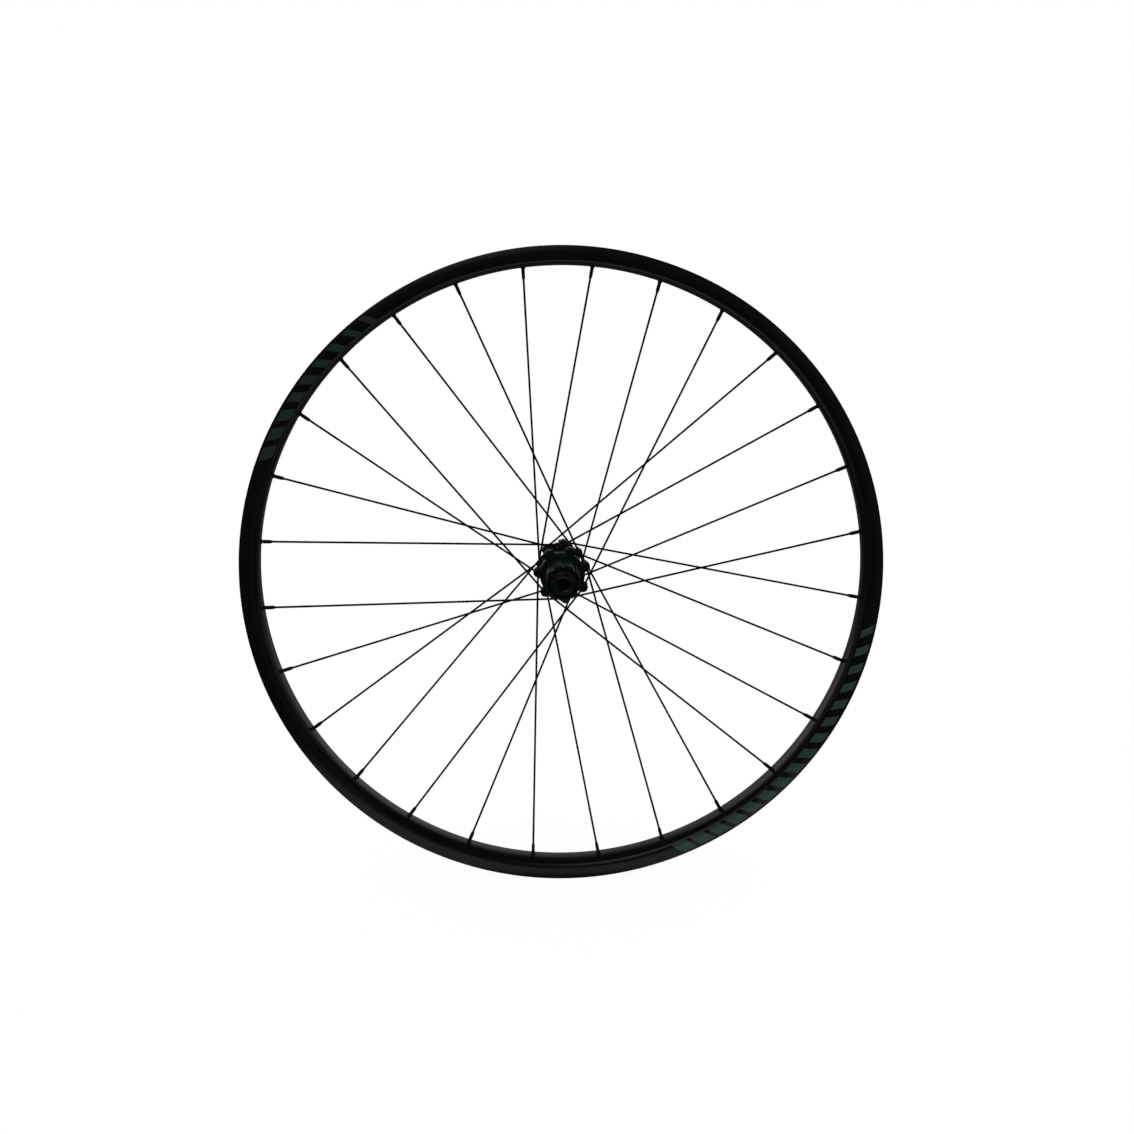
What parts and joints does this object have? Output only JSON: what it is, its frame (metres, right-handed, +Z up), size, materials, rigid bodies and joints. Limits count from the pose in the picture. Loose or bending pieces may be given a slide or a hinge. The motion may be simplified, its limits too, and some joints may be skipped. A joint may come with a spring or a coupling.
{
  "type": "bicycle wheel",
  "caption": "Rear bicycle wheel: wide double-wall rim, straight-pull spokes, hub with lobed flanges, splined brake rotor mount and a free-wheeling splined driver for sprockets.",
  "frame": {"origin": "wheel centre: on the axle's axis, in the rim's middle plane", "axes": "+Y along the axle towards the brake side, -Y towards the drive side, +Z up, +X forward"},
  "size_m": [0.6329, 0.148, 0.633],
  "materials": {
    "rim_black": "black anodised, satin",
    "spoke_black": "black coated steel wire",
    "nipple_black": "black anodised",
    "hub_black": "black anodised, satin",
    "axle_black": "black anodised, turned",
    "freehub_black": "black anodised, hard coat",
    "bearing_steel": "ground bearing steel",
    "ratchet_steel": "hardened steel",
    "seal_rubber": "matt rubber"
  },
  "bodies": {
    "axle": {"axle": "axle_black", "drive_end_cap": "axle_black", "disc_end_cap": "axle_black", "hub_spacer": "axle_black", "freehub_spacer": "axle_black", "hub_drive_bearing_inner_ring": "bearing_steel", "hub_disc_bearing_inner_ring": "bearing_steel", "freehub_inner_bearing_inner_ring": "bearing_steel", "freehub_outer_bearing_inner_ring": "bearing_steel"},
    "wheel": {"rim": "rim_black", "nipples": "nipple_black", "hub_shell": "hub_black", "ratchet_ring": "ratchet_steel", "drive_outer_spoke_1": "spoke_black", "drive_outer_spoke_2": "spoke_black", "drive_outer_spoke_3": "spoke_black", "drive_outer_spoke_4": "spoke_black", "drive_outer_spoke_5": "spoke_black", "drive_outer_spoke_6": "spoke_black", "drive_outer_spoke_7": "spoke_black", "disc_inner_spoke_1": "spoke_black", "disc_inner_spoke_2": "spoke_black", "disc_inner_spoke_3": "spoke_black", "disc_inner_spoke_4": "spoke_black", "disc_inner_spoke_5": "spoke_black", "disc_inner_spoke_6": "spoke_black", "disc_inner_spoke_7": "spoke_black", "drive_inner_spoke_1": "spoke_black", "drive_inner_spoke_2": "spoke_black", "drive_inner_spoke_3": "spoke_black", "drive_inner_spoke_4": "spoke_black", "drive_inner_spoke_5": "spoke_black", "drive_inner_spoke_6": "spoke_black", "drive_inner_spoke_7": "spoke_black", "disc_outer_spoke_1": "spoke_black", "disc_outer_spoke_2": "spoke_black", "disc_outer_spoke_3": "spoke_black", "disc_outer_spoke_4": "spoke_black", "disc_outer_spoke_5": "spoke_black", "disc_outer_spoke_6": "spoke_black", "disc_outer_spoke_7": "spoke_black", "hub_drive_bearing_outer_ring": "bearing_steel", "hub_disc_bearing_outer_ring": "bearing_steel"},
    "freehub": {"freehub_body": "freehub_black", "freehub_seal": "seal_rubber", "freehub_inner_bearing_outer_ring": "bearing_steel", "freehub_outer_bearing_outer_ring": "bearing_steel", "pawl_spring_1": "ratchet_steel", "pawl_spring_2": "ratchet_steel", "pawl_spring_3": "ratchet_steel"},
    "pawl_1": {"pawl_1": "ratchet_steel"},
    "pawl_2": {"pawl_2": "ratchet_steel"},
    "pawl_3": {"pawl_3": "ratchet_steel"}
  },
  "joints": [
    {"name": "wheel_spin", "type": "hinge", "parent": "axle", "child": "wheel", "pos_m": [0, 0, 0], "axis": [0, 1, 0], "continuous": true},
    {"name": "freehub_spin", "type": "hinge", "parent": "axle", "child": "freehub", "pos_m": [0, 0, 0], "axis": [0, 1, 0], "continuous": true},
    {"name": "pawl_1_fold", "type": "hinge", "parent": "freehub", "child": "pawl_1", "pos_m": [-0.0066, -0.026, 0.01026], "axis": [0, 1, 0], "range_deg": [0, 9], "stiffness_Nm_per_rad": 0.02, "springref_deg": -5.73, "deforming": ["pawl_spring_1"]},
    {"name": "pawl_2_fold", "type": "hinge", "parent": "freehub", "child": "pawl_2", "pos_m": [-0.00559, -0.026, -0.01085], "axis": [0, 1, 0], "range_deg": [0, 9], "stiffness_Nm_per_rad": 0.02, "springref_deg": -5.73, "deforming": ["pawl_spring_2"]},
    {"name": "pawl_3_fold", "type": "hinge", "parent": "freehub", "child": "pawl_3", "pos_m": [0.01219, -0.026, 0.00059], "axis": [0, 1, 0], "range_deg": [0, 9], "stiffness_Nm_per_rad": 0.02, "springref_deg": -5.73, "deforming": ["pawl_spring_3"]}
  ]
}
